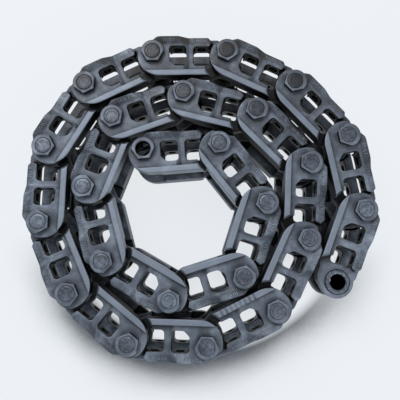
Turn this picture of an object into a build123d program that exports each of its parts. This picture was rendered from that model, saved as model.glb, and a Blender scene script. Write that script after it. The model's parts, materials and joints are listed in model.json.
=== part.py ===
from build123d import *
import math
import os

# Excavator track chain: 24 forged link pairs on sealed pins and bushes, wound into
# a flat coil that lies on its side. Every pin axis is upright, along +Z.
# Sizes are in millimetres and angles in degrees.

# Chain
pitch = 190.0                    # pin centre to bush centre of one link
link_count = 24
root_link = 14                   # the link whose rail runs along X

# Each link points from its pin end to its bush end. These are the directions seen in
# the photograph, from the inner end of the coil to its outer end, turning clockwise.
link_headings = (
    6.5, -50.0, -106.0, -160.5, -208.0, -253.0, -289.0, -338.5,
    -372.0, -403.5, -451.0, -473.0, -511.5, -540.0, -577.0, -604.5,
    -630.0, -659.5, -692.5, -717.5, -743.5, -765.0, -797.0, -829.0,
)

# Forged link, seen from the side: the pivot line is v = 0, the rail is below it
rail_height = 63.0               # pivot line to rail face
seat_height = 42.0               # pivot line to the seat of the shoe
pin_eye_radius = 38.0
bush_eye_radius = 41.0
nose_radius = 28.5               # the seat's front slopes off at this radius from the pin
nose_fillet = 13.0
seat_start = 12.0                # seat begins this far past the pin centre
rail_start = 18.0                # rail face begins here, where its rounded front ends
foot_start = 41.0                # the bush end's plate begins here at the rail
shoulder_height = 4.0            # above this the bush end's plate comes closer to the pin
swing_gap = 4.0                  # air between a link and the next one that swings past it

# Distances along the link from the bush centre, back towards the pin
heel_back = 47.0                 # end of the pin end's seat
heel_slant = 48.0                # angle at which it slopes off from there
rail_end_back = 43.0             # end of the rail face
rail_lip_back = 56.0             # end of the rail's upper edge
toe_start_back = 22.0            # the bush end's toe, between rail and bush eye
toe_end_back = 2.0
toe_corner_past = 13.0           # this one lies past the bush centre
toe_drop = 54.0
toe_corner_drop = 48.0

# Forged link, across the chain, from the middle plane of the chain
inner_face = 38.0                # inner side of the bush end
plate_thickness = 28.0           # bush end
side_gap = 1.0                   # between a bush end and the pin end that laps it
outer_thickness = 30.0           # pin end
boss_height = 5.0
rail_width = 45.0
rail_end_chamfer = 7.0

# Pockets for the shoe nuts, and what stands round them
pocket_length = 44.0
pocket_top = 18.0
pocket_bottom = -34.0
pocket_radius = 9.0
pocket_slant = 14.0
bolt_spacing = 62.0              # along the chain
bolt_start = 64.0                # first bolt past the pin centre
bolt_across = 124.0              # across the chain
bolt_hole_radius = 10.5
web_recess = 8.0                 # web below the rail's side, at the pin end
web_bottom = -41.0
web_top = 21.0                   # the flange slopes up from here to the seat
flange_drop = 15.0               # web and flange below the rail's side, at the bush end
flange_drop_start = 66.0
flange_drop_end = 92.0

# Boss round the pin, with three flats
boss_radius = 29.0
boss_flat = 25.0
boss_chamfer = 3.5

# Split link: the cross grooves on the side of its rail
grooved_link = 13
groove_count = 8
groove_spacing = 12.5
groove_width = 5.0
groove_depth = 2.5
groove_start = 32.0

# Pin, bush and dust seal
pin_radius = 19.0
pin_overhang = 1.0               # pin end past the boss
pin_chamfer = 2.0
running_clearance = 0.08         # radial, between a pin and its bush
bush_radius = 29.5
bush_overhang = 4.0              # bush end past its link
bush_chamfer = 1.5
counterbore_clearance = 2.0
seal_width = 2.7
seal_gap = 0.3

# Sizes that follow from those above
inner_top = inner_face + plate_thickness
outer_base = inner_top + side_gap
outer_top = outer_base + outer_thickness
boss_top = outer_top + boss_height
web_level = outer_top - web_recess
pin_half = boss_top + pin_overhang
bush_half = inner_top + bush_overhang
counterbore_radius = bush_radius + counterbore_clearance
counterbore_floor = bush_half + seal_gap + seal_width + seal_gap
heel_radius = math.hypot(seat_start, seat_height) + swing_gap
bush_pass_radius = bush_eye_radius + swing_gap
toe_pass_radius = math.hypot(toe_end_back, toe_drop) + swing_gap


def about(centre_u, radius, angle):
    """A point at this radius and angle from a pivot that lies at centre_u."""
    turn = math.radians(angle)
    return (centre_u + radius * math.cos(turn), radius * math.sin(turn))


def direction(point, centre_u):
    """Angle at which a point stands from a pivot."""
    return math.degrees(math.atan2(point[1], point[0] - centre_u))


def disc(centre_u, radius):
    """Flat round about a pivot."""
    return Pos(centre_u, 0) * Circle(radius)


def rail_front():
    """Centre and radius of the arc that runs smoothly into the rail face and the pin eye."""
    radius = ((rail_start**2 + rail_height**2 - pin_eye_radius**2)
              / (2 * (rail_height - pin_eye_radius)))
    return (rail_start, radius - rail_height), radius


def nose_round(front_centre, front_radius):
    """Centre of the arc between the slope of the seat's front and the rail's front.

    Also gives the angles at which that arc leaves the slope and meets the rail's front.
    """
    # The slope clears the nose radius, and square_on is the direction square to it
    square_on = (math.radians(direction((seat_start, seat_height), 0))
                 + math.acos(nose_radius / math.hypot(seat_start, seat_height)))
    normal = (math.cos(square_on), math.sin(square_on))
    # Along the normal and across it, from the rail front's centre to this arc's centre
    along = nose_radius - nose_fillet - front_centre[0] * normal[0] - front_centre[1] * normal[1]
    across = math.sqrt((front_radius - nose_fillet)**2 - along**2)
    centre = (front_centre[0] + along * normal[0] - across * normal[1],
              front_centre[1] + along * normal[1] + across * normal[0])
    start = math.degrees(square_on)
    return centre, start, start + math.degrees(math.atan2(across, along))


def pin_end_outline():
    """The half of the link that carries the pin, with its rail and shoe seat."""
    front = (seat_start, seat_height)
    front_centre, front_radius = rail_front()
    nose_centre, slope_angle, nose_angle = nose_round(front_centre, front_radius)
    nose = CenterArc(nose_centre, nose_fillet, slope_angle, nose_angle - slope_angle)
    # The heel slopes off inside the circle that the next link's nose needs
    heel = (pitch - heel_back, seat_height)
    heel_low = (heel[0] + seat_height / math.tan(math.radians(heel_slant)), 0)
    lip = (pitch - rail_lip_back, web_bottom)
    rail_end = (pitch - rail_end_back, -rail_height)
    outline = make_face([
        Line(nose @ 0, front),
        Line(front, heel),
        Line(heel, heel_low),
        Line(heel_low, (lip[0], 0)),
        Line((lip[0], 0), lip),
        Line(lip, rail_end),
        Line(rail_end, (rail_start, -rail_height)),
        CenterArc(front_centre, front_radius, nose_angle, 270.0 - nose_angle),
        nose,
    ])
    outline -= disc(pitch, heel_radius)
    return fillet(outline.vertices().sort_by_distance(front)[:1], nose_fillet)


def bush_end_outline():
    """The half of the link that carries the bush, cut back where the last link swings."""
    eye_low = about(pitch, bush_eye_radius, -42.0)
    eye_high = about(pitch, bush_eye_radius, 112.0)
    outline = make_face(Polyline(
        (seat_start, seat_height),
        (pitch - toe_start_back, seat_height),
        eye_high,
        (pitch, 0),
        eye_low,
        (pitch + toe_corner_past, -toe_corner_drop),
        (pitch - toe_end_back, -toe_drop),
        (pitch - toe_start_back, -toe_drop),
        (pitch - rail_end_back, -rail_height),
        (foot_start, -rail_height),
        (foot_start, 0),
        (seat_start, 0),
        close=True))
    toe_sweep = disc(0, toe_pass_radius) - Pos(0, shoulder_height + toe_pass_radius) * Rectangle(
        2 * toe_pass_radius, 2 * toe_pass_radius)
    return outline + disc(pitch, bush_eye_radius) - disc(0, bush_pass_radius) - toe_sweep


def slab(face, low, high):
    """A flat outline made into a plate between two heights."""
    return Pos(0, 0, low) * extrude(face, high - low)


def box_between(low, high):
    """A block between two corners."""
    size = [high[i] - low[i] for i in range(3)]
    middle = [(high[i] + low[i]) / 2 for i in range(3)]
    return Pos(*middle) * Box(*size)


def pocket_outline(bolt):
    """Rounded opening for the nut of one bolt, slanted on the first one beside the boss."""
    low = bolt - pocket_length / 2
    high = bolt + pocket_length / 2
    slant = pocket_slant if bolt < pitch / 2 else 0.0
    corners = [(low, pocket_top), (low, pocket_bottom + slant), (low + slant, pocket_bottom),
               (high, pocket_bottom), (high, pocket_top)]
    if not slant:
        del corners[2]
    outline = make_face(Polyline(*corners, close=True))
    return fillet(outline.vertices(), pocket_radius)


def drum(radius, low, high, centre_u=0.0):
    """Upright cylinder about a pivot, between two heights."""
    return Pos(centre_u, 0, (low + high) / 2) * Cylinder(radius, high - low)


def boss():
    """Round boss with a flat to the rail and one each side of it."""
    shape = drum(boss_radius, outer_base, boss_top)
    for turn in (-150.0, -90.0, -30.0):
        flat = Pos(0, boss_flat + boss_radius, boss_top) * Box(
            4 * boss_radius, 2 * boss_radius, 2 * (boss_top - web_level))
        shape -= Rot(0, 0, turn - 90.0) * flat
    return chamfer(shape.faces().sort_by(Axis.Z)[-1].edges(), boss_chamfer)


def pin_end_plate(outline):
    """Outer plate of the pin end, with the web and flange that lie behind its rail's side."""
    plate = slab(outline, outer_base, outer_top)
    end_middle = (pitch - (rail_end_back + rail_lip_back) / 2, (web_bottom - rail_height) / 2, outer_top)
    plate = chamfer(plate.edges().sort_by_distance(end_middle)[:1], rail_end_chamfer)
    # The web is level, and the flange slopes up from it to the seat
    recess = make_face(Polyline((web_bottom, web_level), (web_top, web_level), (seat_height, outer_top),
                                (2 * seat_height, outer_top), (2 * seat_height, boss_top),
                                (web_bottom, boss_top), close=True))
    plate -= extrude(Plane.YZ.offset(-pitch) * recess, 2 * pitch)
    # Towards the bush end web and flange drop lower together
    drop_level = outer_top - flange_drop
    drop = make_face(Polyline((flange_drop_start, outer_top), (flange_drop_end, drop_level),
                              (2 * pitch, drop_level), (2 * pitch, boss_top),
                              (flange_drop_start, boss_top), close=True))
    plate -= Pos(0, 2 * seat_height, 0) * extrude(Plane.XZ * drop, 2 * seat_height - web_bottom)
    return plate


def forged_link():
    """Upper link of a pair, pin centre at the origin and bush centre on +X."""
    pin_half_face = pin_end_outline()
    bush_half_face = bush_end_outline()
    body = pin_end_plate(pin_half_face) + boss()
    body += slab(bush_half_face, inner_face, inner_top)
    body += slab(pin_half_face & bush_half_face, inner_top - side_gap, outer_base + side_gap)

    second_bolt = bolt_start + bolt_spacing
    for bolt in (bolt_start, second_bolt):
        pocket = slab(pocket_outline(bolt), inner_face - side_gap, boss_top)
        if bolt == second_bolt:
            pocket -= drum(bush_pass_radius, inner_face - side_gap, boss_top, pitch)
            # Outside the bush eye this pocket stays open towards the next link
            pocket += box_between((second_bolt, pocket_bottom, outer_base),
                                  (pitch, pocket_top, boss_top))
        body -= pocket
        body -= Pos(bolt, seat_height, bolt_across / 2) * Rot(90, 0, 0) * Cylinder(
            bolt_hole_radius, 2 * (seat_height - pocket_top) + side_gap)

    # The rail is narrower than the link
    rail_inner = outer_top - rail_width
    body -= box_between((0, -2 * rail_height, 0), (pitch - rail_end_back, web_bottom, rail_inner))

    body -= drum(pin_radius, outer_base - side_gap, boss_top + side_gap)
    body -= drum(counterbore_radius, outer_base - side_gap, counterbore_floor)
    body -= drum(bush_radius, inner_face - side_gap, inner_top + side_gap, pitch)
    return body.solid()


def cross_grooves():
    """Cutters for the row of grooves across the side of the split link's rail."""
    grooves = []
    for number in range(groove_count):
        start = groove_start + number * groove_spacing
        grooves.append(box_between((start, -2 * rail_height, outer_top - groove_depth),
                                   (start + groove_width, web_bottom, boss_top)))
    return grooves


def pin():
    """Track pin with chamfered ends, about its own axis."""
    shape = Cylinder(pin_radius, 2 * pin_half)
    return chamfer(shape.edges().filter_by(GeomType.CIRCLE), pin_chamfer).solid()


def bush():
    """Hollow bush that the sprocket teeth push on."""
    shape = Cylinder(bush_radius, 2 * bush_half)
    shape = chamfer(shape.edges().filter_by(GeomType.CIRCLE), bush_chamfer)
    return (shape - Cylinder(pin_radius + running_clearance, 2 * pin_half)).solid()


def seal():
    """Dust seal ring between the upper bush end and the floor of the counterbore."""
    low = bush_half + seal_gap
    ring = drum(counterbore_radius - seal_gap, low, low + seal_width)
    return (ring - drum(pin_radius + seal_gap, low - side_gap, low + seal_width + side_gap)).solid()


def lower(shape):
    """The same piece on the other side of the chain's middle plane."""
    return mirror(shape, Plane.XY)


def pivot_points():
    """Every pivot of the coil, with the first pin at the origin."""
    points = [(0.0, 0.0)]
    for heading in link_headings:
        turn = math.radians(heading)
        last = points[-1]
        points.append((last[0] + pitch * math.cos(turn), last[1] + pitch * math.sin(turn)))
    return points


def coil_pieces():
    """Every named node of the coil, as the list of its solids."""
    upper_link = forged_link()
    lower_link = lower(upper_link)
    upper_grooved = upper_link
    for groove in cross_grooves():
        upper_grooved -= groove
    upper_grooved = upper_grooved.solid()
    lower_grooved = lower(upper_grooved)
    one_pin, one_bush = pin(), bush()
    upper_seal = seal()
    lower_seal = lower(upper_seal)

    nodes = {}
    points = pivot_points()
    for number in range(1, link_count + 1):
        start, end = points[number - 1], points[number]
        place = Pos(start[0], start[1], 0) * Rot(0, 0, link_headings[number - 1])
        far = Pos(end[0], end[1], 0) * Rot(0, 0, link_headings[number - 1])
        grooved = number == grooved_link
        top = place * (upper_grooved if grooved else upper_link)
        bottom = place * (lower_grooved if grooved else lower_link)
        links = {"upper_link": [top], "lower_link": [bottom]}
        joint = {"bush": [far * one_bush]}
        if number > 1:
            joint["pin"] = [place * one_pin]
            joint["dust_seals"] = [place * upper_seal, place * lower_seal]
        if number not in split_bodies:
            links = {"link_pair": [top, bottom]}
        if number not in split_bodies and number != seals_apart_body:
            joint = {"pin_and_bush": [piece for group in joint.values() for piece in group]}
        for name, pieces in {**links, **joint}.items():
            nodes[f"{name}_{number:02d}"] = pieces
    return nodes


# Links whose upper and lower forgings, pin, bush and seals are nodes of their own
split_bodies = (1, grooved_link, root_link, link_count)
# A pair of forgings with its pin, bush and seals as nodes of their own
seals_apart_body = 2


def bounds_of(nodes):
    """Lowest and highest corner over every solid."""
    boxes = [piece.bounding_box() for pieces in nodes.values() for piece in pieces]
    low = [min(getattr(box.min, axis) for box in boxes) for axis in ("X", "Y", "Z")]
    high = [max(getattr(box.max, axis) for box in boxes) for axis in ("X", "Y", "Z")]
    return low, high


nodes = coil_pieces()
low, high = bounds_of(nodes)
# The origin is under the middle of the coil, on the ground that the pin ends stand on
shift = (-(low[0] + high[0]) / 2, -(low[1] + high[1]) / 2, -low[2])
pivots = [(x + shift[0], y + shift[1]) for x, y in pivot_points()]

if __name__ == "__main__":
    os.makedirs("parts", exist_ok=True)
    for name, pieces in nodes.items():
        export_step(Compound([Pos(*shift) * piece for piece in pieces]), f"parts/{name}.step")
    print(len(nodes), "nodes,", sum(len(pieces) for pieces in nodes.values()), "solids")
    print("size", [round(high[i] - low[i], 1) for i in range(3)])
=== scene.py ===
import json
import logging
import math
from dataclasses import dataclass, field
from enum import Enum
from typing import Callable, Sequence

import bpy
from mathutils import Matrix, Vector

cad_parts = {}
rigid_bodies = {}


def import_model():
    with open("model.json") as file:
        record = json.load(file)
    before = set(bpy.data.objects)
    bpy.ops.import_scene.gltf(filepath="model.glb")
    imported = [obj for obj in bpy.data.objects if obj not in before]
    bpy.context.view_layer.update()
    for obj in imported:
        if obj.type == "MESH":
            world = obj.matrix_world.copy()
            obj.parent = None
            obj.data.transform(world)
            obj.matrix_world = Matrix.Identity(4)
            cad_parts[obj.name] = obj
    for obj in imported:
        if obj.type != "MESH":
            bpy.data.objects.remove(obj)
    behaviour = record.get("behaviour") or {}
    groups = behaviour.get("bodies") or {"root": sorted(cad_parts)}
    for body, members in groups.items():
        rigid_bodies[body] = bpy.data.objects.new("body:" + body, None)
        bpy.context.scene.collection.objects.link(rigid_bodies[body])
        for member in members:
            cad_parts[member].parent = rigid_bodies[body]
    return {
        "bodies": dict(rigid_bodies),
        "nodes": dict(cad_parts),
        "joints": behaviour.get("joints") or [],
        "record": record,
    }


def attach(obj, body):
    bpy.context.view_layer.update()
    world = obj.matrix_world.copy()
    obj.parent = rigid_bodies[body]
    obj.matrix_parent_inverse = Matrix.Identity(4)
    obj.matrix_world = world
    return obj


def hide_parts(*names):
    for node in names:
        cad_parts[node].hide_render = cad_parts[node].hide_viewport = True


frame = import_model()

# Excavator track chain, coiled on its side. Lengths are in metres.
MM = 0.001
WHITE = "#ffffff"
# Marks on a mesh's points that its material reads
MACHINED = "machined"
BORE_SHADE = "oiled"
# Colour sockets of a Mix node
COLOUR_A, COLOUR_B, COLOUR_OUT = 6, 7, 2
# A face whose normal has this much of an axis looks along it
FACING = 0.9
log = logging.getLogger("track_chain")
logging.basicConfig(level=logging.INFO, format="%(message)s")
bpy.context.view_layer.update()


class Side(Enum):
    """Which half of the chain a piece lies in, seen from its middle plane."""

    UPPER = 1.0
    LOWER = -1.0


def hex_linear(code: str) -> tuple[float, float, float, float]:
    """Turns an sRGB hex colour into Blender's linear colour.

    Args:
        code: Six hex digits, with or without the leading mark.

    Returns:
        Red, green, blue and an alpha of one.
    """
    values = [int(code.lstrip("#")[i:i + 2], 16) / 255.0 for i in (0, 2, 4)]
    linear = [v / 12.92 if v <= 0.04045 else ((v + 0.055) / 1.055) ** 2.4 for v in values]
    return (linear[0], linear[1], linear[2], 1.0)


def add_node(tree: bpy.types.NodeTree, kind: str, settings: dict | None = None, links: dict | None = None,
             stops: Sequence[tuple[float, str]] = ()) -> bpy.types.Node:
    """Adds one node with its settings, input values and links.

    Args:
        tree: The node tree that takes the node.
        kind: The node's type name.
        settings: Attributes of the node by name.
        links: Input sockets by name or index, each with a value or an output socket.
        stops: Place and hex colour of each stop of a colour ramp, from low to high.

    Returns:
        The new node.
    """
    node = tree.nodes.new(kind)
    for name, value in (settings or {}).items():
        setattr(node, name, value)
    for name, value in (links or {}).items():
        if isinstance(value, bpy.types.NodeSocket):
            tree.links.new(value, node.inputs[name])
        else:
            node.inputs[name].default_value = value
    for index, (place, colour) in enumerate(stops):
        elements = node.color_ramp.elements
        element = elements[index] if index < len(elements) else elements.new(place)
        element.position = place
        element.color = hex_linear(colour)
    return node


def per_mm(size_mm: float) -> float:
    """Scale of a pattern whose features are this many millimetres wide."""
    return 1.0 / (size_mm * MM)


def deselect() -> None:
    """Leaves edit mode and deselects every object."""
    if bpy.context.object and bpy.context.object.mode != "OBJECT":
        bpy.ops.object.mode_set(mode="OBJECT")
    bpy.ops.object.select_all(action="DESELECT")


def make_active(obj: bpy.types.Object) -> None:
    """Selects one object alone and makes it active."""
    deselect()
    obj.select_set(True)
    bpy.context.view_layer.objects.active = obj


def add_modifier(obj: bpy.types.Object, kind: str, **settings: object) -> None:
    """Adds a modifier with its settings and applies it.

    Args:
        obj: The mesh object.
        kind: The modifier's type.
        settings: Attributes of the modifier by name.
    """
    make_active(obj)
    modifier = obj.modifiers.new(kind.lower(), kind)
    for name, value in settings.items():
        setattr(modifier, name, value)
    bpy.ops.object.modifier_apply(modifier=modifier.name)


def select_faces(obj: bpy.types.Object, test: Callable[[bpy.types.MeshPolygon], bool]) -> int:
    """Selects the faces that pass a test, from edit mode, and stays in edit mode.

    Args:
        obj: The active object.
        test: Says of one face whether it is wanted.

    Returns:
        How many faces are selected.
    """
    bpy.ops.mesh.select_mode(type="FACE")
    bpy.ops.mesh.select_all(action="DESELECT")
    bpy.ops.object.mode_set(mode="OBJECT")
    chosen = 0
    for polygon in obj.data.polygons:
        polygon.select = bool(test(polygon))
        chosen += int(polygon.select)
    bpy.ops.object.mode_set(mode="EDIT")
    return chosen


def smooth(obj: bpy.types.Object, angle: float = 38.0) -> None:
    """Shades an object smooth up to an angle between its faces."""
    make_active(obj)
    bpy.ops.object.shade_smooth_by_angle(angle=math.radians(angle))


def mark_points(obj: bpy.types.Object, name: str, value: Callable[[Vector], float]) -> None:
    """Writes a number from 0 to 1 on every point of a mesh, for its material to read.

    Args:
        obj: The mesh object.
        name: Name of the attribute.
        value: Gives the number of one point.
    """
    mesh = obj.data
    marks = mesh.attributes.new(name, "FLOAT", "POINT")
    for vertex in mesh.vertices:
        marks.data[vertex.index].value = float(value(vertex.co))


@dataclass(frozen=True)
class PrimedForging:
    """Closed-die steel forging under a thin coat of blue-grey primer, handled and dusty.

    Dull and slightly mottled. Edges are paler, partly from wear and partly as a painted
    highlight; corners, hollows and bores are painted near-black as painted shade. Machined faces
    are paler and smoother. Brown dust lies on one side of the coil, which is also painted darker as shade.
    """

    name: str = "primed_forged_steel"
    base: str = "#626b77"
    worn: str = "#97a2b0"
    deep: str = "#3f4650"
    machined: str = "#8d96a3"
    speck: str = "#8c8c8c"
    dust: str = "#4a423b"
    # The next two colours are painted shade: black in the bores, near-black in corners and hollows
    bore_shade_colour: str = "#020203"
    corner: str = "#030406"
    mottle_mm: float = 42.0
    grain_mm: float = 2.4          # scale pits are finer; drawn this coarse so that they show
    dust_mm: float = 38.0
    hammer_mm: float = 14.0
    hollow_mm: float = 85.0        # hollows about this deep are dark
    coat_stops: tuple[float, float, float] = (0.36, 0.5, 0.7)
    speck_stops: tuple[float, float] = (0.35, 0.58)
    dust_stops: tuple[float, float] = (0.42, 0.62)
    # Paler edges: partly wear, partly a painted highlight
    rubbed_and_highlight_stops: tuple[float, float] = (0.52, 0.60)   # pointiness of an edge
    hollow_stops: tuple[float, float] = (0.50, 0.90)   # share of sky, in a corner and in the open
    machined_share: float = 0.75
    speck_share: float = 0.55
    dust_share: float = 0.85
    rubbed_and_highlight_share: float = 0.8
    grain_bump: tuple[float, float] = (0.22, 1.2 * MM)   # strength and depth
    hammer_bump: tuple[float, float] = (0.3, 2.0 * MM)
    roughness: float = 0.42
    roughness_spread: tuple[float, float] = (-0.08, 0.2)
    metallic: float = 0.42
    specular: float = 0.5


@dataclass(frozen=True)
class TurnedSteel:
    """Turned and hardened pin steel: brighter than the forging, stained, with painted shade in its hollows
    and bore, and darker on the coil's +Y side from dust and painted shade.
    """

    name: str = "turned_pin_steel"
    base: str = "#747d8a"
    worn: str = "#98a2b0"
    dark: str = "#4c535e"
    patch: str = "#8f8a84"
    # Dust and painted shade of the coil's +Y side
    dust: str = "#2a2623"
    # The next two colours are painted shade: black in the bore, near-black in corners and hollows
    bore_shade_colour: str = "#020203"
    corner: str = "#060709"
    stain_mm: float = 7.0
    patch_mm: float = 60.0
    hollow_mm: float = 20.0
    stain_stops: tuple[float, float, float] = (0.3, 0.52, 0.74)
    patch_stops: tuple[float, float] = (0.36, 0.6)
    hollow_stops: tuple[float, float] = (0.2, 0.7)
    patch_share: float = 0.6
    dust_share: float = 0.85
    stain_bump: tuple[float, float] = (0.25, 0.8 * MM)
    roughness: float = 0.38
    metallic: float = 0.55
    specular: float = 0.5


@dataclass(frozen=True)
class GroundSteel(TurnedSteel):
    """Case-hardened bush steel, ground: smoother and more mirror-like than the pin."""

    name: str = "ground_bush_steel"
    base: str = "#6d7682"
    worn: str = "#939ca8"
    roughness: float = 0.32
    metallic: float = 0.7


@dataclass(frozen=True)
class NitrileRubber:
    """Moulded nitrile rubber of a dust seal: matt black, a little dusty."""

    name: str = "nitrile_seal_rubber"
    base: str = "#15161a"
    dust: str = "#2b2b2d"
    dust_mm: float = 9.0
    dust_stops: tuple[float, float] = (0.4, 0.75)
    roughness: float = 0.75
    ior: float = 1.52


@dataclass(frozen=True)
class Lit:
    """Where along +Y the coil turns dusty and is painted darker as painted shade, and how much is left of the
    light.
    """

    start: float = 0.02
    full: float = 0.30
    left: float = 0.86


def blank_material(name: str) -> bpy.types.Material:
    """Adds a material whose node tree is empty."""
    material = bpy.data.materials.new(name)
    material.use_nodes = True
    material.node_tree.nodes.clear()
    return material


def paint_bore_shade(tree: bpy.types.NodeTree, colour: bpy.types.NodeSocket,
              bore_shade_colour: str) -> tuple[bpy.types.NodeSocket, bpy.types.NodeSocket]:
    """Paints a colour black where the mesh is marked, as painted shade in a bore.

    Args:
        tree: The node tree.
        colour: The colour outside the painted bore shade.
        bore_shade_colour: Hex colour of the painted bore shade.

    Returns:
        The colour, and how far the surface is from the painted bore shade, from 0 to 1.
    """
    oiled = add_node(tree, "ShaderNodeAttribute", {"attribute_name": BORE_SHADE}).outputs["Fac"]
    colour = add_node(tree, "ShaderNodeMix", {"data_type": "RGBA"},
                      {"Factor": oiled, COLOUR_A: colour, COLOUR_B: hex_linear(bore_shade_colour)}).outputs[COLOUR_OUT]
    unshaded = add_node(tree, "ShaderNodeMath", {"operation": "SUBTRACT"}, {0: 1.0, 1: oiled}).outputs[0]
    return colour, unshaded


def add_surface(tree: bpy.types.NodeTree, colour: bpy.types.NodeSocket, unshaded: bpy.types.NodeSocket,
                finish: PrimedForging | TurnedSteel, roughness: bpy.types.NodeSocket | float,
                normal: bpy.types.NodeSocket) -> None:
    """Adds the shader and the output of a metal that shines only outside the painted bore shade.

    Args:
        tree: The node tree.
        colour: Its colour.
        unshaded: How far it is from the painted bore shade, from 0 to 1; its shine scales with it.
        finish: Its metallic and specular values.
        roughness: Its roughness.
        normal: Its bumped normal.
    """
    metallic, specular = (add_node(tree, "ShaderNodeMath", {"operation": "MULTIPLY"}, {0: unshaded, 1: amount})
                          for amount in (finish.metallic, finish.specular))
    shader = add_node(tree, "ShaderNodeBsdfPrincipled", None,
                      {"Base Color": colour, "Roughness": roughness, "Metallic": metallic.outputs[0],
                       "Specular IOR Level": specular.outputs[0], "Normal": normal})
    add_node(tree, "ShaderNodeOutputMaterial", None, {"Surface": shader.outputs["BSDF"]})


def forging_material(finish: PrimedForging, lit: Lit) -> bpy.types.Material:
    """Builds the primed forging's material.

    Args:
        finish: Its colours and sizes.
        lit: Where the coil turns dusty and is painted darker, as painted shade.

    Returns:
        The material.
    """
    material = blank_material(finish.name)
    tree = material.node_tree
    coords = add_node(tree, "ShaderNodeTexCoord").outputs["Object"]
    mottle = add_node(tree, "ShaderNodeTexNoise", None,
                      {"Vector": coords, "Scale": per_mm(finish.mottle_mm), "Detail": 5.0, "Roughness": 0.62})
    grain = add_node(tree, "ShaderNodeTexNoise", None,
                     {"Vector": coords, "Scale": per_mm(finish.grain_mm), "Detail": 3.0,
                      "Roughness": 0.6}).outputs["Fac"]
    coat = add_node(tree, "ShaderNodeValToRGB", None, {"Fac": mottle.outputs["Fac"]},
                    tuple(zip(finish.coat_stops, (finish.deep, finish.base, finish.worn)))).outputs["Color"]
    machined = add_node(tree, "ShaderNodeAttribute", {"attribute_name": MACHINED}).outputs["Fac"]
    rough_cast = add_node(tree, "ShaderNodeMath", {"operation": "SUBTRACT"}, {0: 1.0, 1: machined}).outputs[0]
    share = add_node(tree, "ShaderNodeMath", {"operation": "MULTIPLY"},
                     {0: machined, 1: finish.machined_share})
    coat = add_node(tree, "ShaderNodeMix", {"data_type": "RGBA"},
                    {"Factor": share.outputs[0], COLOUR_A: coat,
                     COLOUR_B: hex_linear(finish.machined)}).outputs[COLOUR_OUT]
    speck = add_node(tree, "ShaderNodeValToRGB", None, {"Fac": grain},
                     tuple(zip(finish.speck_stops, (finish.speck, WHITE)))).outputs["Color"]
    share = add_node(tree, "ShaderNodeMath", {"operation": "MULTIPLY"},
                     {0: rough_cast, 1: finish.speck_share})
    coat = add_node(tree, "ShaderNodeMix", {"data_type": "RGBA", "blend_type": "MULTIPLY"},
                    {"Factor": share.outputs[0], COLOUR_A: coat, COLOUR_B: speck}).outputs[COLOUR_OUT]

    # Brown dust gathers on the coil's +Y side, which is also painted darker, as painted shade
    place = add_node(tree, "ShaderNodeSeparateXYZ", None, {"Vector": coords})
    dust = add_node(tree, "ShaderNodeMapRange", None,
                    {"Value": place.outputs["Y"], "From Min": lit.start,
                     "From Max": lit.full}).outputs["Result"]
    patch = add_node(tree, "ShaderNodeTexNoise", None,
                     {"Vector": coords, "Scale": per_mm(finish.dust_mm), "Detail": 6.0, "Roughness": 0.7})
    patches = add_node(tree, "ShaderNodeMapRange", None,
                       {"Value": patch.outputs["Fac"], "From Min": finish.dust_stops[0],
                        "From Max": finish.dust_stops[1]}).outputs["Result"]
    for part in (patches, rough_cast, finish.dust_share):
        dust = add_node(tree, "ShaderNodeMath", {"operation": "MULTIPLY"}, {0: dust, 1: part}).outputs[0]
    coat = add_node(tree, "ShaderNodeMix", {"data_type": "RGBA"},
                    {"Factor": dust, COLOUR_A: coat, COLOUR_B: hex_linear(finish.dust)}).outputs[COLOUR_OUT]

    # Edges are paler, partly from wear and partly as a painted highlight; corners and hollows are painted
    # dark, as painted shade
    edge = add_node(tree, "ShaderNodeNewGeometry").outputs["Pointiness"]
    rubbed_and_highlight = add_node(tree, "ShaderNodeMapRange", None,
                      {"Value": edge, "From Min": finish.rubbed_and_highlight_stops[0], "From Max": finish.rubbed_and_highlight_stops[1],
                       "To Max": finish.rubbed_and_highlight_share})
    coat = add_node(tree, "ShaderNodeMix", {"data_type": "RGBA"},
                    {"Factor": rubbed_and_highlight.outputs["Result"], COLOUR_A: coat,
                     COLOUR_B: hex_linear(finish.worn)}).outputs[COLOUR_OUT]
    near = add_node(tree, "ShaderNodeAmbientOcclusion", {"samples": 12}, {"Distance": finish.hollow_mm * MM})
    shade = add_node(tree, "ShaderNodeValToRGB", None, {"Fac": near.outputs["AO"]},
                     tuple(zip(finish.hollow_stops, (finish.corner, WHITE)))).outputs["Color"]
    coat = add_node(tree, "ShaderNodeMix", {"data_type": "RGBA", "blend_type": "MULTIPLY"},
                    {"Factor": 1.0, COLOUR_A: coat, COLOUR_B: shade}).outputs[COLOUR_OUT]
    # Painted shade: the coil's +Y side is painted darker
    painted_shade_dim = add_node(tree, "ShaderNodeMapRange", None,
                   {"Value": place.outputs["Y"], "From Min": lit.start, "From Max": lit.full, "To Min": 1.0,
                    "To Max": lit.left})
    coat = add_node(tree, "ShaderNodeVectorMath", {"operation": "SCALE"},
                    {0: coat, "Scale": painted_shade_dim.outputs["Result"]}).outputs[0]
    # Painted shade: the bores are painted black and lose their shine
    coat, unshaded = paint_bore_shade(tree, coat, finish.bore_shade_colour)

    low, high = (finish.roughness + spread for spread in finish.roughness_spread)
    rough = add_node(tree, "ShaderNodeMapRange", None, {"Value": grain, "To Min": low, "To Max": high})
    hammer = add_node(tree, "ShaderNodeTexNoise", None,
                      {"Vector": coords, "Scale": per_mm(finish.hammer_mm), "Detail": 2.0}).outputs["Fac"]
    normal = None
    for height, (strength, depth) in ((grain, finish.grain_bump), (hammer, finish.hammer_bump)):
        share = add_node(tree, "ShaderNodeMath", {"operation": "MULTIPLY"}, {0: rough_cast, 1: strength})
        under = {} if normal is None else {"Normal": normal}
        normal = add_node(tree, "ShaderNodeBump", None,
                          {"Strength": share.outputs[0], "Distance": depth, "Height": height,
                           **under}).outputs["Normal"]
    add_surface(tree, coat, unshaded, finish, rough.outputs["Result"], normal)
    return material


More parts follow.
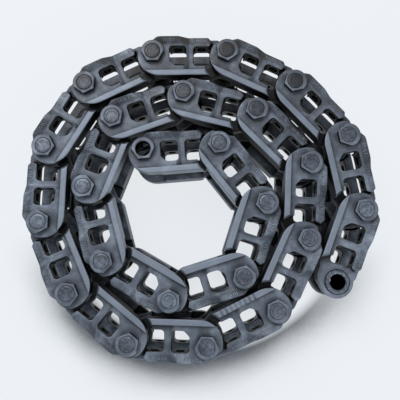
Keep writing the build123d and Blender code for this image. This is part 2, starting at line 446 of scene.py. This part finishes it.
def turned_material(finish: TurnedSteel, lit: Lit) -> bpy.types.Material:
    """Builds the pin and bush steel, stained unevenly.

    Args:
        finish: Its colours and sizes.
        lit: Where the coil turns dusty and is painted darker, as painted shade.

    Returns:
        The material.
    """
    material = blank_material(finish.name)
    tree = material.node_tree
    coords = add_node(tree, "ShaderNodeTexCoord").outputs["Object"]
    stain = add_node(tree, "ShaderNodeTexNoise", None,
                     {"Vector": coords, "Scale": per_mm(finish.stain_mm), "Detail": 5.0, "Roughness": 0.65})
    patch = add_node(tree, "ShaderNodeTexNoise", None,
                     {"Vector": coords, "Scale": per_mm(finish.patch_mm), "Detail": 3.0})
    colour = add_node(tree, "ShaderNodeValToRGB", None, {"Fac": stain.outputs["Fac"]},
                      tuple(zip(finish.stain_stops,
                                (finish.dark, finish.base, finish.worn)))).outputs["Color"]
    tone = add_node(tree, "ShaderNodeValToRGB", None, {"Fac": patch.outputs["Fac"]},
                    tuple(zip(finish.patch_stops, (finish.patch, WHITE)))).outputs["Color"]
    colour = add_node(tree, "ShaderNodeMix", {"data_type": "RGBA", "blend_type": "MULTIPLY"},
                      {"Factor": finish.patch_share, COLOUR_A: colour, COLOUR_B: tone}).outputs[COLOUR_OUT]
    place = add_node(tree, "ShaderNodeSeparateXYZ", None, {"Vector": coords})
    # Dust and painted shade: the coil's +Y side turns a near-black brown
    side = add_node(tree, "ShaderNodeMapRange", None,
                    {"Value": place.outputs["Y"], "From Min": lit.start, "From Max": lit.full,
                     "To Max": finish.dust_share})
    colour = add_node(tree, "ShaderNodeMix", {"data_type": "RGBA"},
                      {"Factor": side.outputs["Result"], COLOUR_A: colour,
                       COLOUR_B: hex_linear(finish.dust)}).outputs[COLOUR_OUT]
    # Painted shade: corners and hollows turn near-black
    near = add_node(tree, "ShaderNodeAmbientOcclusion", {"samples": 8}, {"Distance": finish.hollow_mm * MM})
    shade = add_node(tree, "ShaderNodeValToRGB", None, {"Fac": near.outputs["AO"]},
                     tuple(zip(finish.hollow_stops, (finish.corner, WHITE)))).outputs["Color"]
    colour = add_node(tree, "ShaderNodeMix", {"data_type": "RGBA", "blend_type": "MULTIPLY"},
                      {"Factor": 1.0, COLOUR_A: colour, COLOUR_B: shade}).outputs[COLOUR_OUT]
    # Painted shade: the bore is painted black and has no shine
    colour, unshaded = paint_bore_shade(tree, colour, finish.bore_shade_colour)
    strength, depth = finish.stain_bump
    bump = add_node(tree, "ShaderNodeBump", None,
                    {"Strength": strength, "Distance": depth, "Height": stain.outputs["Fac"]})
    add_surface(tree, colour, unshaded, finish, finish.roughness, bump.outputs["Normal"])
    return material


def seal_material(finish: NitrileRubber) -> bpy.types.Material:
    """Builds the dust seal's rubber.

    Args:
        finish: Its colours and sizes.

    Returns:
        The material.
    """
    material = blank_material(finish.name)
    tree = material.node_tree
    coords = add_node(tree, "ShaderNodeTexCoord").outputs["Object"]
    dust = add_node(tree, "ShaderNodeTexNoise", None,
                    {"Vector": coords, "Scale": per_mm(finish.dust_mm), "Detail": 4.0})
    colour = add_node(tree, "ShaderNodeValToRGB", None, {"Fac": dust.outputs["Fac"]},
                      tuple(zip(finish.dust_stops, (finish.base, finish.dust)))).outputs["Color"]
    shader = add_node(tree, "ShaderNodeBsdfPrincipled", None,
                      {"Base Color": colour, "Roughness": finish.roughness, "IOR": finish.ior})
    add_node(tree, "ShaderNodeOutputMaterial", None, {"Surface": shader.outputs["BSDF"]})
    return material


@dataclass(frozen=True)
class LinkPlace:
    """Where one link of the coil lies: its pin centre, its bush centre and its number."""

    number: int
    pin: Vector
    bush: Vector

    @property
    def turn(self) -> float:
        """Angle of the link in plan, from its pin to its bush, in radians."""
        along = self.bush - self.pin
        return math.atan2(along.y, along.x)

    def matrix(self, at_bush: bool = False) -> Matrix:
        """Link coordinates to the row frame, about the pin or about the bush."""
        origin = self.bush if at_bush else self.pin
        return Matrix.Translation(origin) @ Matrix.Rotation(self.turn, 4, "Z")

    @property
    def body(self) -> str:
        """The CAD body that the link belongs to."""
        return f"link_{self.number:02d}"


def chain_places() -> list[LinkPlace]:
    """Reads every pivot of the coil from the frame's joints and end bores."""
    pivots: dict[int, Vector] = {}
    mounts = {mount["name"]: mount for mount in frame["record"]["mounts"]}
    for joint in frame["joints"]:
        lower = min(int(joint["parent"][-2:]), int(joint["child"][-2:]))
        pivots[lower] = Vector(joint["pos_m"])
    count = len(frame["bodies"])
    pivots[0] = Vector(mounts["pin_bore"]["pos_m"])
    pivots[count] = Vector(mounts["bush_bore"]["pos_m"])
    return [LinkPlace(n, pivots[n - 1], pivots[n]) for n in range(1, count + 1)]


def placed_copy(master: bpy.types.Object, name: str, matrix: Matrix, side: Side) -> bpy.types.Object:
    """Copies a master piece with its own mesh to its place.

    Args:
        master: The piece, in link coordinates.
        name: Name of the copy.
        matrix: Link coordinates to the row frame.
        side: Lower copies are mirrored in the chain's middle plane.

    Returns:
        The new object, at the origin, with its place in its mesh.
    """
    mesh = master.data.copy()
    mesh.name = name
    if side is Side.LOWER:
        mesh.transform(Matrix.Scale(-1.0, 4, (0.0, 0.0, 1.0)))
        mesh.flip_normals()
    mesh.transform(matrix)
    copy = bpy.data.objects.new(name, mesh)
    bpy.context.scene.collection.objects.link(copy)
    return copy


@dataclass
class Forging:
    """The upper forging of a link pair, taken from its CAD node and finished as a forging."""

    node: str
    place: LinkPlace
    merge_gap: float = 0.01 * MM
    grid: float = 1.2 * MM           # the skin is laid this fine before its edges are worn round
    wearing_step: float = 0.5
    wearing: int = 12                # passes that wear the edges round
    flange_wearing: int = 45         # the flange's outline is worn rounder still
    faces: int = 22000
    shade_angle: float = 50.0
    normal_weight: int = 80
    rail_line: float = 41.0 * MM     # in from the pivot line, where the solid's rail side begins
    rail_step: float = 47.0 * MM     # where it begins here, behind a shelf level with the web
    rail_start: float = -45.0 * MM
    rail_end: float = 134.0 * MM
    shelf_face: float = 89.0 * MM
    shelf_overlap: float = 0.2 * MM
    shelf_drop: float = 7.0 * MM     # the shelf drops with the web along the link
    drop_start: float = 79.9 * MM
    drop_end: float = 92.0 * MM
    rail_side: float = 95.6 * MM
    rail_face: float = 61.5 * MM
    seat_face: float = 41.2 * MM
    web_top: float = 24.0 * MM
    boss_outer: float = 29.0 * MM
    boss_inner: float = 19.1 * MM
    boss_flat: float = 25.0 * MM
    boss_low: float = 84.0 * MM
    boss_high: float = 102.0 * MM
    boss_edge: float = 2.6 * MM
    boss_edge_angle: float = 35.0
    boss_turns: tuple[float, ...] = (-150.0, -90.0, -30.0)   # its three flats
    boss_vertices: int = 96
    bush_eye: tuple[float, float] = (150.0 * MM, 64.0 * MM)   # its faced side begins here
    seal_seat: float = 73.5 * MM
    seal_bore: float = 32.0 * MM
    bore_shade_reach: float = 1.2 * MM
    rail_finish: float = 1.0         # how smooth each surface is, from as forged to machined
    eye_finish: float = 0.6
    web_finish: float = 0.35
    boss_finish: float = 0.3
    stroke_height: float = 9.0 * MM
    stroke_width: float = 2.0 * MM
    stroke_rise: float = 0.9 * MM
    stroke_sunk: float = 0.4 * MM
    stroke_top: tuple[float, float, float] = (0.6, 0.9, 1.0)   # size of its top against its foot
    stroke_lean: float = 0.25        # every third stroke leans by this, in radians
    bar_length: float = 3.2 * MM     # cross bar of a stroke
    bar_along: float = 1.4 * MM
    bar_places: tuple[float, float] = (-0.35, 0.3)   # on even and on odd strokes, along the stroke
    low_face: float = 82.0 * MM      # side of the flange past its slope
    high_face: float = 93.2 * MM     # side of the flange before it, at the line of strokes
    high_rise: float = 8.0 * MM      # this part of the flange's side slopes up by this much
    flange_width: float = 21.0 * MM
    stroke_line: float = 32.0 * MM   # out from the pivot line
    low_strokes: tuple[float, ...] = (98, 102, 106.5, 113, 117, 121.5, 126, 133, 137)
    high_strokes: tuple[float, ...] = (28, 32.5, 37, 43, 47.5, 54)
    crossed: tuple[int, ...] = (1, 3, 4, 7)

    def build(self) -> bpy.types.Object:
        """Builds the master in link coordinates.

        Returns:
            The master object.
        """
        mesh = frame["nodes"][self.node].data.copy()
        mesh.materials.clear()
        mesh.transform(self.place.matrix().inverted())
        master = bpy.data.objects.new("master_" + self.node, mesh)
        bpy.context.scene.collection.objects.link(master)
        make_active(master)
        bpy.ops.object.mode_set(mode="EDIT")
        bpy.ops.mesh.select_all(action="SELECT")
        bpy.ops.mesh.remove_doubles(threshold=self.merge_gap)
        bpy.ops.object.mode_set(mode="OBJECT")
        shelf = self.rail_shelf()
        add_modifier(master, "BOOLEAN", operation="DIFFERENCE", solver="EXACT", object=shelf)
        bpy.data.objects.remove(shelf)
        # A fine even skin, worn round at its edges and corners as a die forging is
        add_modifier(master, "REMESH", mode="VOXEL", voxel_size=self.grid)
        add_modifier(master, "SMOOTH", factor=self.wearing_step, iterations=self.wearing)
        flange = master.vertex_groups.new(name="flange")
        flange.add([v.index for v in master.data.vertices if v.co.y > self.web_top], 1.0, "REPLACE")
        add_modifier(master, "SMOOTH", factor=self.wearing_step, iterations=self.flange_wearing,
                     vertex_group=flange.name)
        add_modifier(master, "DECIMATE", ratio=self.faces / (2 * len(master.data.polygons)))
        boss, strokes = self.turned_boss(), self.raised_strokes()
        make_active(master)
        boss.select_set(True)
        strokes.select_set(True)
        bpy.ops.object.join()
        mark_points(master, MACHINED, self.finish_of)
        # The pin's bore and the seal's seat are painted black, as painted shade
        mark_points(master, BORE_SHADE, self.bore_shade_on)
        smooth(master, self.shade_angle)
        add_modifier(master, "WEIGHTED_NORMAL", keep_sharp=True, weight=self.normal_weight)
        return master

    def rail_shelf(self) -> bpy.types.Object:
        """The block that is cut away between the web and the rail's side."""
        deselect()
        low, high = self.shelf_face, self.boss_high
        along, across = (self.rail_start + self.rail_end) / 2, -(self.rail_line + self.rail_step) / 2
        bpy.ops.mesh.primitive_cube_add(size=1.0, location=(along, across, (low + high) / 2))
        block = bpy.context.object
        width = self.rail_step - self.rail_line + self.shelf_overlap
        block.scale = (self.rail_end - self.rail_start, width, high - low)
        bpy.ops.object.transform_apply(location=True, rotation=False, scale=True)
        bpy.ops.object.mode_set(mode="EDIT")
        for along in (self.drop_start, self.drop_end):
            bpy.ops.mesh.select_all(action="SELECT")
            bpy.ops.mesh.bisect(plane_co=(along, 0.0, 0.0), plane_no=(1.0, 0.0, 0.0))
        select_faces(block, lambda face: face.normal.z < -FACING and face.center.x > self.drop_end)
        bpy.ops.transform.translate(value=(0.0, 0.0, -self.shelf_drop))
        bpy.ops.object.mode_set(mode="OBJECT")
        return block

    def turned_boss(self) -> bpy.types.Object:
        """The boss round the pin, with a flat to the rail and one each side of it."""
        boss = Tube("boss", self.boss_outer, self.boss_inner, self.boss_low, self.boss_high, 0.0,
                    self.boss_vertices).build()
        make_active(boss)
        bpy.ops.object.mode_set(mode="EDIT")
        for turn in self.boss_turns:
            outward = (math.cos(math.radians(turn)), math.sin(math.radians(turn)), 0.0)
            bpy.ops.mesh.select_all(action="SELECT")
            bpy.ops.mesh.bisect(plane_co=[self.boss_flat * part for part in outward], plane_no=outward,
                                use_fill=True, clear_outer=True)
        bpy.ops.object.mode_set(mode="OBJECT")
        add_modifier(boss, "BEVEL", width=self.boss_edge, segments=3, limit_method="ANGLE",
                     angle_limit=math.radians(self.boss_edge_angle))
        return boss

    def finish_of(self, point: Vector) -> float:
        """How smooth the surface is at a point: rail and seat are machined, the flange is as forged."""
        on_rail_side = point.y < -self.rail_line and point.z > self.rail_side
        if on_rail_side or point.y < -self.rail_face or point.y > self.seat_face:
            return self.rail_finish
        if point.z > self.shelf_face and math.hypot(point.x, point.y) < self.boss_outer:
            return self.boss_finish if point.z > self.boss_high - self.boss_edge else 0.0
        if point.x > self.bush_eye[0] and point.z > self.bush_eye[1]:
            return self.eye_finish
        on_web = point.y < self.web_top and point.z > self.shelf_face - 2 * self.shelf_drop
        return self.web_finish if on_web else 0.0

    def bore_shade_on(self, point: Vector) -> float:
        """Whether a point lies in the pin's bore or in the seal's seat, which are painted black as painted
        shade.
        """
        reach = math.hypot(point.x, point.y)
        in_bore = reach < self.boss_inner + self.bore_shade_reach and point.z < self.boss_high - self.boss_edge
        return float(in_bore or (reach < self.seal_bore and point.z < self.seal_seat))

    def raised_strokes(self) -> bpy.types.Object:
        """Rows of plain raised strokes on the flange's side, in place of any lettering.

        Returns:
            One object with every stroke.
        """
        deselect()
        pieces = []
        slope = math.atan2(self.high_rise, self.flange_width)
        rows = ((self.low_strokes, self.low_face, 0.0), (self.high_strokes, self.high_face, slope))
        for row, level, tilt in rows:
            for index, place_mm in enumerate(row):
                along, lean = place_mm * MM, 0.0 if index % 3 else self.stroke_lean
                pieces.append(self.stroke(along, self.stroke_line, level, self.stroke_height, lean, tilt))
                if index in self.crossed:
                    offset = self.stroke_height * self.bar_places[index % 2]
                    pieces.append(self.stroke(along + self.bar_along, self.stroke_line + offset,
                                              level + offset * math.tan(tilt), self.bar_length,
                                              math.pi / 2, tilt))
        deselect()
        for piece in pieces:
            piece.select_set(True)
        bpy.context.view_layer.objects.active = pieces[0]
        bpy.ops.object.join()
        bpy.ops.object.transform_apply(location=True, rotation=True, scale=True)
        return pieces[0]

    def stroke(self, along: float, out: float, level: float, length: float, turn: float,
               tilt: float) -> bpy.types.Object:
        """One raised stroke, a bar with a narrower top.

        Args:
            along: Place along the link.
            out: Place out from the pivot line.
            level: Height of the face that it stands on.
            length: Length of the stroke.
            turn: Its lean from upright, in radians.
            tilt: The slope of the face, in radians.

        Returns:
            The stroke.
        """
        middle = level + (self.stroke_rise - self.stroke_sunk) / 2
        bpy.ops.mesh.primitive_cube_add(size=1.0, location=(along, out, middle))
        bar = bpy.context.object
        bar.scale = (self.stroke_width, length, self.stroke_rise + self.stroke_sunk)
        bpy.ops.object.transform_apply(location=False, rotation=False, scale=True)
        bpy.ops.object.mode_set(mode="EDIT")
        select_faces(bar, lambda face: face.normal.z > FACING)
        bpy.ops.transform.resize(value=self.stroke_top, center_override=bar.location)
        bpy.ops.object.mode_set(mode="OBJECT")
        bar.rotation_euler = (Matrix.Rotation(tilt, 3, "X") @ Matrix.Rotation(turn, 3, "Z")).to_euler()
        return bar


@dataclass
class TrackPin:
    """Track pin: ground shaft with chamfered, dished and turned ends."""

    radius: float = 19.0 * MM
    half_length: float = 103.0 * MM
    chamfer: float = 1.6 * MM
    dish_radius: float = 13.0 * MM
    dish_depth: float = 0.8 * MM
    vertices: int = 48
    edge_angle: float = 60.0
    shade_angle: float = 25.0

    def build(self) -> bpy.types.Object:
        """Builds the pin about its own axis, on the middle plane."""
        deselect()
        bpy.ops.mesh.primitive_cylinder_add(vertices=self.vertices, radius=self.radius,
                                            depth=2 * self.half_length)
        pin = bpy.context.object
        pin.name = "master_pin"
        add_modifier(pin, "BEVEL", width=self.chamfer, segments=2, limit_method="ANGLE",
                     angle_limit=math.radians(self.edge_angle))
        bpy.ops.object.mode_set(mode="EDIT")
        for end in (1.0, -1.0):
            select_faces(pin, lambda face: face.normal.z * end > 0.99)   # not the chamfer
            bpy.ops.mesh.inset(thickness=self.radius - self.chamfer - self.dish_radius)
            bpy.ops.mesh.inset(thickness=self.dish_depth)
            bpy.ops.transform.translate(value=(0.0, 0.0, -end * self.dish_depth))
        bpy.ops.object.mode_set(mode="OBJECT")
        smooth(pin, self.shade_angle)
        return pin


@dataclass
class Tube:
    """A turned tube about a pivot's axis: a bush, or a seal ring."""

    name: str
    outer: float
    inner: float
    low: float
    high: float
    round_edge: float
    vertices: int = 56
    edge_angle: float = 30.0
    bore_shade_reach: float = 0.8 * MM

    def build(self) -> bpy.types.Object:
        """Builds the tube by bridging its two ends through the bore."""
        deselect()
        depth = self.high - self.low
        bpy.ops.mesh.primitive_cylinder_add(vertices=self.vertices, radius=self.outer, depth=depth,
                                            location=(0.0, 0.0, (self.low + self.high) / 2))
        tube = bpy.context.object
        tube.name = self.name
        bpy.ops.object.transform_apply(location=True)
        bpy.ops.object.mode_set(mode="EDIT")
        select_faces(tube, lambda face: abs(face.normal.z) > FACING)
        # An inset moves each side inwards, so it is measured on the flats of the polygon
        flat = math.cos(math.pi / self.vertices)
        bpy.ops.mesh.inset(thickness=(self.outer - self.inner) * flat, use_individual=True)
        bpy.ops.mesh.bridge_edge_loops()
        bpy.ops.object.mode_set(mode="OBJECT")
        if self.round_edge:
            add_modifier(tube, "BEVEL", width=self.round_edge, segments=2, limit_method="ANGLE",
                         angle_limit=math.radians(self.edge_angle))
            # The bore is painted black, as painted shade
            mark_points(tube, BORE_SHADE, lambda point: math.hypot(point.x, point.y) < self.inner + self.bore_shade_reach)
        smooth(tube)
        return tube


@dataclass
class TrackChain:
    """The coil: every link pair with its pin, bush and seals."""

    places: list[LinkPlace]
    root: int = 14
    grooved: int = 13
    bush_outer: float = 29.5 * MM
    bush_inner: float = 19.08 * MM
    bush_half: float = 70.0 * MM
    bush_edge: float = 1.5 * MM
    seal_outer: float = 31.2 * MM
    seal_inner: float = 19.3 * MM
    seal_low: float = 70.3 * MM
    seal_high: float = 73.0 * MM
    seal_edge: float = 0.8 * MM
    masters: dict[str, bpy.types.Object] = field(default_factory=dict)
    pieces: list[bpy.types.Object] = field(default_factory=list)

    def build(self) -> None:
        """Builds the masters once and then every piece of every link."""
        lit = Lit()
        steel = forging_material(PrimedForging(), lit)
        turned = turned_material(TurnedSteel(), lit)
        ground = turned_material(GroundSteel(), lit)
        rubber = seal_material(NitrileRubber())
        self.masters = {
            "link": Forging(f"upper_link_{self.root:02d}", self.places[self.root - 1]).build(),
            "grooved": Forging(f"upper_link_{self.grooved:02d}", self.places[self.grooved - 1]).build(),
            "pin": TrackPin().build(),
            "bush": Tube("master_bush", self.bush_outer, self.bush_inner, -self.bush_half, self.bush_half,
                         self.bush_edge).build(),
            "seal": Tube("master_seal", self.seal_outer, self.seal_inner, self.seal_low, self.seal_high,
                         self.seal_edge).build(),
        }
        dress = {"link": steel, "grooved": steel, "pin": turned, "bush": ground, "seal": rubber}
        for name, material in dress.items():
            self.masters[name].data.materials.clear()
            self.masters[name].data.materials.append(material)
        for place in self.places:
            self.build_link(place)
        for master in self.masters.values():
            bpy.data.objects.remove(master)

    def nodes_of(self, place: LinkPlace, *names: str) -> list[str]:
        """The CAD nodes of this link whose names start with one of these words."""
        members = frame["record"]["behaviour"]["bodies"][place.body]
        return [node for node in members if node.startswith(names)]

    def add(self, master: str, name: str, place: LinkPlace, matrix: Matrix, side: Side,
            nodes: list[str], slot: str) -> None:
        """Places one copy, ties it to its body and hides the nodes that it stands for.

        Args:
            master: Which master piece is copied.
            name: The piece's own name.
            place: The link that it belongs to.
            matrix: Its place.
            side: Upper or lower half of the chain.
            nodes: The CAD nodes that it stands for.
            slot: The record's material slot; not used.
        """
        piece = placed_copy(self.masters[master], name, matrix, side)
        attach(piece, place.body)
        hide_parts(*nodes)
        self.pieces.append(piece)

    def build_link(self, place: LinkPlace) -> None:
        """Builds the two forgings, the pin, the bush and the seals of one link."""
        number = place.number
        form = "grooved" if number == self.grooved else "link"
        for side in Side:
            word = side.name.lower()
            self.add(form, f"{word}_forging_{number:02d}", place, place.matrix(), side,
                     self.nodes_of(place, "link_pair", f"{word}_link"), "forged_link")
        joined = "pin_and_bush"
        self.add("bush", f"track_bush_{number:02d}", place, place.matrix(at_bush=True), Side.UPPER,
                 self.nodes_of(place, joined, "bush"), "hardened_bush")
        if number > 1:
            self.add("pin", f"track_pin_{number:02d}", place, place.matrix(), Side.UPPER,
                     self.nodes_of(place, joined, "pin"), "ground_pin")
            for side in Side:
                self.add("seal", f"{side.name.lower()}_seal_{number:02d}", place, place.matrix(), side,
                         self.nodes_of(place, joined, "dust_seals"), "seal_steel")
        log.info("link %02d built, %d pieces so far", number, len(self.pieces))


@dataclass(frozen=True)
class Lamp:
    """A soft square lamp: its place, the length of its side and its power in watts."""

    name: str
    at: tuple[float, float, float]
    size: float
    power: float


@dataclass
class Studio:
    """Plain pale floor, soft lamps and the camera at the photograph's viewing angle."""

    lamps: tuple[Lamp, ...] = (Lamp("key", (-0.9, 1.3, 2.3), 1.6, 30.0),
                               Lamp("fill", (1.2, -1.2, 1.9), 2.2, 12.0))
    lamp_aim: tuple[float, float, float] = (0.0, 0.0, 0.1)
    sky_colour: str = "#e6ecf4"
    sky_strength: float = 0.55
    camera_at: tuple[float, float, float] = (0.0078, -0.1394, 1.3587)
    camera_turn: tuple[float, float, float] = (6.09, 0.449, 1.89)
    lens: float = 42.62
    floor_size: float = 12.0
    floor_drop: float = 0.4 * MM     # below the coil, so that the two don't share a plane
    floor_colour: str = "#f0f4f8"
    floor_glow: float = 0.86         # share of the floor's look that no shadow dims
    slot: float = 0.06               # the floor is dark in slots narrower than about this
    slot_sky: tuple[float, float] = (0.02, 0.22)      # share of sky where it is darkest, and full
    slot_left: float = 0.04
    samples: int = 24
    shadow_colour: str = "#7d8186"
    shadow_reach: float = 0.20
    shadow_sky: tuple[float, float] = (0.97, 0.76)    # share of sky where it starts, and is full
    shadow_rim: tuple[float, float] = (0.40, 0.43)    # from the middle of the coil
    shadow_side: tuple[float, float] = (-0.1, -0.34)  # along Y
    bore_level: float = 205.0 * MM
    bore_sight: tuple[float, float] = (0.038, 0.026)  # round what shows through the open bore
    bore_sky: tuple[float, float] = (0.7, 0.5)        # dark only where a link stands over it

    def build(self) -> None:
        """Builds the floor, the lamps, the world and the camera."""
        self.floor()
        for lamp in self.lamps:
            self.add_lamp(lamp)
        self.world()
        data = bpy.data.cameras.new("camera")
        data.lens = self.lens
        camera = bpy.data.objects.new("camera", data)
        camera.location = self.camera_at
        camera.rotation_euler = [math.radians(angle) for angle in self.camera_turn]
        bpy.context.scene.collection.objects.link(camera)
        bpy.context.scene.camera = camera
        bpy.context.scene.view_settings.view_transform = "Standard"

    def add_lamp(self, lamp: Lamp) -> None:
        """Adds one lamp, which faces the coil."""
        data = bpy.data.lights.new(lamp.name, "AREA")
        data.size = lamp.size
        data.energy = lamp.power
        made = bpy.data.objects.new(lamp.name, data)
        made.location = lamp.at
        made.rotation_euler = (Vector(self.lamp_aim) - Vector(lamp.at)).to_track_quat("-Z", "Y").to_euler()
        bpy.context.scene.collection.objects.link(made)

    def world(self) -> None:
        """Adds a soft even sky."""
        world = bpy.data.worlds.new("studio")
        bpy.context.scene.world = world
        world.use_nodes = True
        shader = world.node_tree.nodes["Background"]
        shader.inputs["Color"].default_value = hex_linear(self.sky_colour)
        shader.inputs["Strength"].default_value = self.sky_strength

    def floor(self) -> None:
        """Adds the floor, which the camera sees pale and which keeps the coil's shadow."""
        deselect()
        bpy.ops.mesh.primitive_plane_add(size=self.floor_size, location=(0.0, 0.0, -self.floor_drop))
        floor = bpy.context.object
        floor.name = "floor"
        material = blank_material("pale_floor")
        tree = material.node_tree
        path = add_node(tree, "ShaderNodeLightPath")
        seen = add_node(tree, "ShaderNodeMath", {"operation": "MAXIMUM"},
                        {0: path.outputs["Is Camera Ray"], 1: path.outputs["Is Glossy Ray"]})
        # Between the coil's layers hardly any light comes down to the floor
        near = add_node(tree, "ShaderNodeAmbientOcclusion", {"samples": self.samples},
                        {"Distance": self.slot})
        open_floor = add_node(tree, "ShaderNodeMapRange", None,
                              {"Value": near.outputs["AO"], "From Min": self.slot_sky[0],
                               "From Max": self.slot_sky[1], "To Min": self.slot_left})
        share = seen.outputs[0]
        for part in (open_floor.outputs["Result"], self.floor_glow):
            share = add_node(tree, "ShaderNodeMath", {"operation": "MULTIPLY"},
                             {0: share, 1: part}).outputs[0]
        shadow = self.shadow_under(tree)
        share = self.without(tree, share, shadow)
        share = self.without(tree, share, self.sight_through(tree, near.outputs["AO"]))
        shaded = add_node(tree, "ShaderNodeMix", {"data_type": "RGBA"},
                          {"Factor": shadow, COLOUR_A: hex_linear(self.floor_colour),
                           COLOUR_B: hex_linear(self.shadow_colour)})
        matt = add_node(tree, "ShaderNodeBsdfDiffuse", None, {"Color": shaded.outputs[COLOUR_OUT]})
        glow = add_node(tree, "ShaderNodeEmission", None,
                        {"Color": hex_linear(self.floor_colour), "Strength": 1.0})
        mixed = add_node(tree, "ShaderNodeMixShader", None,
                         {0: share, 1: matt.outputs[0], 2: glow.outputs[0]})
        add_node(tree, "ShaderNodeOutputMaterial", None, {"Surface": mixed.outputs[0]})
        floor.data.materials.append(material)

    def without(self, tree: bpy.types.NodeTree, share: bpy.types.NodeSocket,
                dark: bpy.types.NodeSocket) -> bpy.types.NodeSocket:
        """A share of glow less its dark part."""
        left = add_node(tree, "ShaderNodeMath", {"operation": "SUBTRACT"}, {0: 1.0, 1: dark}).outputs[0]
        return add_node(tree, "ShaderNodeMath", {"operation": "MULTIPLY"}, {0: share, 1: left}).outputs[0]

    def shadow_under(self, tree: bpy.types.NodeTree) -> bpy.types.NodeSocket:
        """How much the coil's shadow darkens the floor on its -Y side, from 0 to 1."""
        near = add_node(tree, "ShaderNodeAmbientOcclusion", {"samples": self.samples},
                        {"Distance": self.shadow_reach})
        at = add_node(tree, "ShaderNodeNewGeometry").outputs["Position"]
        reach = add_node(tree, "ShaderNodeVectorMath", {"operation": "LENGTH"}, {0: at}).outputs["Value"]
        along = add_node(tree, "ShaderNodeSeparateXYZ", None, {"Vector": at}).outputs["Y"]
        return self.where_all(tree, ((near.outputs["AO"], self.shadow_sky), (reach, self.shadow_rim),
                                     (along, self.shadow_side)))

    def where_all(self, tree: bpy.types.NodeTree,
                  ramps: Sequence[tuple[bpy.types.NodeSocket, tuple[float, float]]]) -> bpy.types.NodeSocket:
        """Marks where several values are all past their ramps.

        Args:
            tree: The node tree.
            ramps: Each value, with where its ramp starts and where it is full.

        Returns:
            The product of the ramps, from 0 to 1.
        """
        mark: bpy.types.NodeSocket | float = 1.0
        for value, (start, full) in ramps:
            ramp = add_node(tree, "ShaderNodeMapRange", None,
                            {"Value": value, "From Min": start, "From Max": full}).outputs["Result"]
            mark = add_node(tree, "ShaderNodeMath", {"operation": "MULTIPLY"}, {0: mark, 1: ramp}).outputs[0]
        return mark

    def sight_through(self, tree: bpy.types.NodeTree, sky: bpy.types.NodeSocket) -> bpy.types.NodeSocket:
        """Marks the floor seen through the open bore, which is dark where little sky reaches it.

        Args:
            tree: The node tree.
            sky: Share of the sky that is open over the floor.

        Returns:
            How dark it is, from 0 to 1.
        """
        bore = next(mount for mount in frame["record"]["mounts"] if mount["name"] == "pin_bore")
        bore_at = Vector((bore["pos_m"][0], bore["pos_m"][1], self.bore_level))
        ray = bore_at - Vector(self.camera_at)
        below = bore_at + ray * (self.bore_level / -ray.z)
        at = add_node(tree, "ShaderNodeNewGeometry").outputs["Position"]
        away = add_node(tree, "ShaderNodeVectorMath", {"operation": "DISTANCE"},
                        {0: at, 1: below}).outputs["Value"]
        return self.where_all(tree, ((away, self.bore_sight), (sky, self.bore_sky)))


def main() -> None:
    """Builds the studio and the chain, and reports what was made."""
    Studio().build()
    chain = TrackChain(chain_places())
    chain.build()
    log.info("%d pieces in all", len(chain.pieces))


if __name__ == "__main__":
    main()
